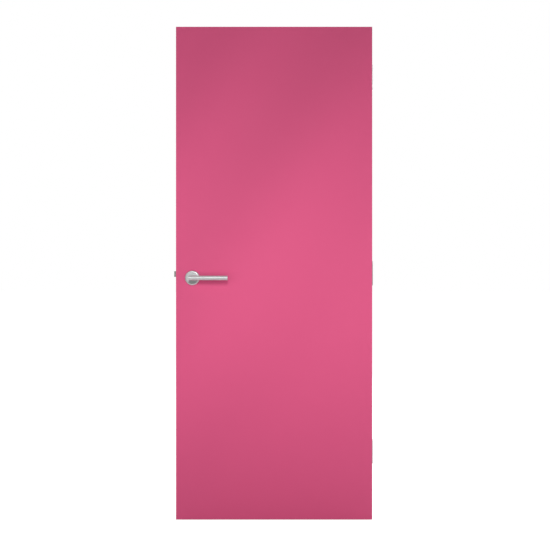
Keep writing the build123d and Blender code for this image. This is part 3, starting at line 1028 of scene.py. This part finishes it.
@dataclass
class Ironmongery:
    """Hinges, latch and lever set."""

    hinge_screw: ScrewSize = ScrewSize(10.2 * MM, 5.4 * MM, 2.1 * MM, 5.2 * MM, 0.95 * MM, 1.5 * MM)
    hinge_screw_seed: int = 4
    forend_screw: ScrewSize = ScrewSize(8.3 * MM, 4.5 * MM, 1.9 * MM, 4.2 * MM, 0.8 * MM, 1.3 * MM)
    forend_screw_seed: int = 5
    outer_spacing: float = 78 * MM
    inner_spacing: float = 30 * MM
    stagger: float = 12 * MM
    forend_inset: float = 9 * MM
    head_below: float = 0.12 * MM
    bar: SteelFinish = SteelFinish("Satin bar", srgb(196, 198, 198), 0.5, lay=Lay.BENT_BAR)
    rose: SteelFinish = SteelFinish("Turned rose", srgb(196, 198, 198), 0.4, lay=Lay.TURNED, stretch=40.0)
    plate: SteelFinish = SteelFinish("Satin plate", srgb(194, 196, 196), 0.3, band_share=0.6)
    pin: SteelFinish = SteelFinish("Bright pin", srgb(176, 178, 178), 0.26, line_scale=1800.0)
    nickel: CoatedFinish = CoatedFinish(
        "Nickel plate",
        srgb(206, 204, 198),
        0.26,
        metallic=1.0,
        unevenness=(-0.025, 0.025),
        depth=0.002 * MM,
        second=srgb(200, 198, 192),
    )
    zinc: CoatedFinish = CoatedFinish(
        "Zinc casting", srgb(150, 152, 154), 0.46, metallic=1.0, second=srgb(124, 126, 128)
    )
    passivated: CoatedFinish = CoatedFinish(
        "Passivated steel", srgb(186, 178, 140), 0.4, metallic=1.0, second=srgb(160, 160, 150)
    )

    def hinge_screw_places(self) -> list[Vector]:
        """Finds the centres of the screw heads in the leaf's flaps.

        Returns:
            The centres, four on each hinge.
        """
        places = []
        leaf_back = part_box("back_laminate")[1].y
        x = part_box("hinge_lipping")[1].x - self.head_below
        for hinge in HINGES:
            low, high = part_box(f"{hinge}_hinge_leaf_flap")
            middle_y = (low.y + leaf_back) / 2
            middle_z = (low.z + high.z) / 2
            for spacing, shift in ((self.outer_spacing, -1), (self.inner_spacing, 1)):
                y = middle_y + shift * self.stagger / 2
                places += [Vector((x, y, middle_z + end * spacing / 2)) for end in (-1, 1)]
        return places

    def forend_screw_places(self) -> list[Vector]:
        """Finds the centres of the screw heads in the forend.

        Returns:
            The centres, lower and upper.
        """
        low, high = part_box("latch_forend")
        x, y = low.x + self.head_below, (low.y + high.y) / 2
        return [Vector((x, y, low.z + self.forend_inset)), Vector((x, y, high.z - self.forend_inset))]

    def dress_metal(self, nickel: bpy.types.Material) -> None:
        """Dresses the hinges, the latch and the lever set.

        Args:
            nickel: The plating that the latch bolt shares with the screws.
        """
        centre = tuple(middle_of("spindle"))
        low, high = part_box("front_lever")
        bar_axis = abs(low.y) - (high.z - low.z) / 2
        bar = replace(self.bar, centre=centre, elbow_at=bar_axis).build()
        dress(bar, *(f"{side}_lever" for side in SIDES))
        rose = replace(self.rose, centre=centre).build()
        dress(rose, *(f"{side}_rose_cover" for side in SIDES))
        flaps = [f"{hinge}_hinge_{flap}_flap" for hinge in HINGES for flap in ("frame", "leaf")]
        dress(self.plate.build(), *flaps, "latch_forend")
        turned = [f"{hinge}_hinge_{piece}" for hinge in HINGES for piece in ("pin", "bearings")]
        dress(self.pin.build(), *turned, "spindle")
        dress(self.zinc.build(), *(f"{side}_rose_base" for side in SIDES), "follower", "rose_bolts")
        dress(self.passivated.build(), "latch_case")
        dress(nickel, "latch_bolt")

    def build(self) -> None:
        """Dresses the metalwork and adds the screws."""
        nickel = self.nickel.build()
        self.dress_metal(nickel)
        tree = GrownTrees.screws()
        values = self.hinge_screw.values((0.0, math.pi / 2, 0.0), self.hinge_screw_seed, nickel)
        screws = grow("hinge_screws", self.hinge_screw_places(), tree, values)
        finish_piece(screws, Body.LEAF, "hinge_steel")
        values = self.forend_screw.values((0.0, -math.pi / 2, 0.0), self.forend_screw_seed, nickel)
        screws = grow("forend_screws", self.forend_screw_places(), tree, values)
        finish_piece(screws, Body.LEAF, "satin_steel")


class Reach(Enum):
    """What a lamp lights."""

    MATT = "matt colour"
    SHEEN = "reflections"


@dataclass(frozen=True)
class SoftLamp:
    """A rectangular soft lamp.

    Where light is 1, a matt face square to the lamp at its target shows its colour as written.
    """

    name: str
    place: Vector
    target: Vector
    size: Span
    light: float
    reach: Reach = Reach.MATT

    def hang(self) -> None:
        """Adds the lamp, for matt colour or for reflections."""
        data = bpy.data.lights.new(self.name, "AREA")
        data.shape = "RECTANGLE"
        data.size, data.size_y = self.size
        away = (self.place - self.target).length
        data.energy = self.light * math.pi * math.pi * away * away
        made = new_object(self.name, data)
        made.location = self.place
        made.rotation_euler = (self.target - self.place).to_track_quat("-Z", "Y").to_euler()
        made.visible_glossy = self.reach is Reach.SHEEN
        made.visible_diffuse = self.reach is Reach.MATT


@dataclass
class Studio:
    """Camera, lamps, world and floor."""

    distance: float = 2.24
    picture: float = 550.0
    leaf_pixels: float = 492.8
    leaf_centre: Span = (274.1, 273.17)
    sensor: float = 36.0
    floor_gap: float = 5 * MM
    floor_size: float = 60.0
    floor_tone: float = 0.48
    floor_roughness: float = 0.9
    floor_specular: float = 0.1
    near_lift: float = 0.88
    lift_run: Span = (0.7, 2.2)
    floor_sheen: float = 0.62
    sheen_run: Span = (7.0, 2.5)
    key_elevation: float = math.radians(19.5)
    key_azimuth: float = math.radians(6.4)
    key_away: float = 4.5
    key_size: Span = (1.06, 1.06)
    key_light: float = 0.345
    sheen_size: Span = (0.5, 0.5)
    key_sheen: float = 0.42
    fill_away: float = 1.08
    fill_size: Span = (2.8, 0.74)
    fill_light: float = 0.99
    fill_at: Span = (0.12, -0.06)
    back_from: Triple = (0.9, 2.8, 0.8)
    back_size: Span = (1.8, 1.8)
    back_light: float = 0.5
    back_sheen: float = 0.3
    edges_from: tuple[tuple[str, Triple], ...] = (
        ("Lock side", (-2.4, 0.75, 0.3)),
        ("Hinge side", (2.4, 0.75, 0.3)),
        ("Top", (0.0, 0.75, 2.6)),
    )
    edge_size: Span = (1.4, 1.4)
    edge_light: float = 0.55
    world_light: float = 0.04
    in_front: Levels = ((0.0, 0.05), (0.6, 0.05), (0.66, 0.3), (0.74, 0.9), (0.85, 0.9), (1.0, 0.5))
    all_round: Levels = ((0.0, 0.5), (0.42, 0.42), (0.5, 0.55), (0.62, 0.85), (0.8, 0.95), (1.0, 0.6))
    beside_run: Span = (0.4, 0.8)
    behind_run: Span = (-0.1, 0.3)

    def camera(self) -> None:
        """Stands the camera square to the push side, at the photograph's framing."""
        low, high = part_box("front_laminate")
        scale = (high.z - low.z) / self.leaf_pixels
        data = bpy.data.cameras.new("Camera")
        data.sensor_width = self.sensor
        data.lens = self.sensor * self.distance / (self.picture * scale)
        made = new_object("Camera", data)
        middle = (low + high) / 2
        across, down = ((self.picture / 2 - centre) * scale for centre in self.leaf_centre)
        made.location = (middle.x + across, low.y - self.distance, middle.z - down)
        made.rotation_euler = (math.pi / 2, 0.0, 0.0)
        bpy.context.scene.camera = made

    def lamps(self) -> None:
        """Hangs a raised key, a broad low fill in front, and lamps for the far side and the edges."""
        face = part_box("front_laminate")[0].y
        middle = middle_of("front_laminate")
        handle = middle_of("spindle")
        handle.y = face
        rise, flat = math.sin(self.key_elevation), math.cos(self.key_elevation)
        towards = Vector((math.sin(self.key_azimuth) * flat, -math.cos(self.key_azimuth) * flat, rise))
        key = handle + self.key_away * towards
        SoftLamp("Key", key, handle, self.key_size, self.key_light).hang()
        SoftLamp("Key sheen", key, handle, self.sheen_size, self.key_sheen, Reach.SHEEN).hang()
        aim = Vector((middle.x + self.fill_at[0], face, middle.z + self.fill_at[1]))
        place = aim - Vector((0.0, self.fill_away, 0.0))
        SoftLamp("Fill", place, aim, self.fill_size, self.fill_light).hang()
        far_side = Vector((middle.x, -face, middle.z))
        back = far_side + Vector(self.back_from)
        SoftLamp("Back", back, far_side, self.back_size, self.back_light).hang()
        SoftLamp("Back sheen", back, far_side, self.sheen_size, self.back_sheen, Reach.SHEEN).hang()
        for name, away in self.edges_from:
            SoftLamp(name, far_side + Vector(away), far_side, self.edge_size, self.edge_light).hang()

    def world(self) -> None:
        """White to the camera, a dim light, and soft bright bands for the metal to show."""
        world = bpy.data.worlds.new("Studio")
        bpy.context.scene.world = world
        world.use_nodes = True
        world.cycles.sampling_method = "NONE"
        graph = Graph(world.node_tree)
        graph.tree.nodes.clear()
        from_camera, reflected = graph.rays()
        way = graph.split(graph.add("ShaderNodeTexCoord").outputs["Generated"])
        rise = graph.maths("MULTIPLY_ADD", way["Z"], 0.5, 0.5)
        beside = graph.step(graph.maths("ABSOLUTE", way["X"]), *self.beside_run)
        elsewhere = graph.maths("MAXIMUM", beside, graph.step(way["Y"], *self.behind_run))
        surround = graph.mix(elsewhere, graph.ramp(rise, self.in_front), graph.ramp(rise, self.all_round))

        def glow(colour: object, strength: float) -> Socket:
            """A plain light of one colour and strength."""
            return graph.add("ShaderNodeBackground", {"Color": colour, "Strength": strength}).outputs[0]

        shaders = {0: reflected, 1: glow(WHITE, self.world_light), 2: glow(surround, 1.0)}
        lit = graph.add("ShaderNodeMixShader", shaders).outputs[0]
        seen = graph.add("ShaderNodeMixShader", {0: from_camera, 1: lit, 2: glow(WHITE, 1.0)})
        graph.add("ShaderNodeOutputWorld", {"Surface": seen.outputs[0]})

    def floor_finish(self, centre: Triple) -> bpy.types.Material:
        """Makes the floor's finish, which runs out to white and shows in the metal as a soft sheen.

        Args:
            centre: The point of the floor under the leaf.

        Returns:
            The material.
        """
        material = bpy.data.materials.new("Pale floor")
        material.use_nodes = True
        graph = Graph(material.node_tree)
        away = graph.vector("DISTANCE", graph.add("ShaderNodeTexCoord").outputs["Object"], centre)
        lift = graph.spread(graph.step(away, *self.lift_run), self.near_lift, 1.0)
        sheen = graph.maths("MULTIPLY", graph.step(away, *self.sheen_run), self.floor_sheen)
        from_camera, reflected = graph.rays()
        in_metal = graph.maths("MULTIPLY", reflected, sheen)
        graph.fill(
            graph.tree.nodes["Principled BSDF"],
            {
                "Base Color": shade((1.0, 1.0, 1.0), self.floor_tone),
                "Roughness": self.floor_roughness,
                "Specular IOR Level": self.floor_specular,
                "Emission Color": WHITE,
                "Emission Strength": graph.maths("MULTIPLY_ADD", from_camera, lift, in_metal),
            },
        )
        material.cycles.emission_sampling = "NONE"
        return material

    def floor(self) -> None:
        """Lays a pale floor that keeps the leaf's shadow."""
        middle = middle_of("front_laminate")
        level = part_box("front_laminate")[0].z - self.floor_gap
        half = self.floor_size / 2
        corners = [(-half, -half, level), (half, -half, level), (half, half, level), (-half, half, level)]
        mesh = bpy.data.meshes.new("floor")
        mesh.from_pydata(corners, [], [(0, 1, 2, 3)])
        mesh.materials.append(self.floor_finish((middle.x, middle.y, level)))
        made = new_object("floor", mesh)

    def build(self) -> None:
        """Sets up the studio."""
        self.camera()
        self.lamps()
        self.world()
        self.floor()
        bpy.context.scene.view_settings.view_transform = "Standard"


def main() -> None:
    """Builds the studio and every sub-assembly."""
    logging.basicConfig(level=logging.INFO, format="%(message)s")
    Studio().build()
    DoorLeaf().build()
    EdgeSeals().build()
    Ironmongery().build()


if __name__ == "__main__":
    main()
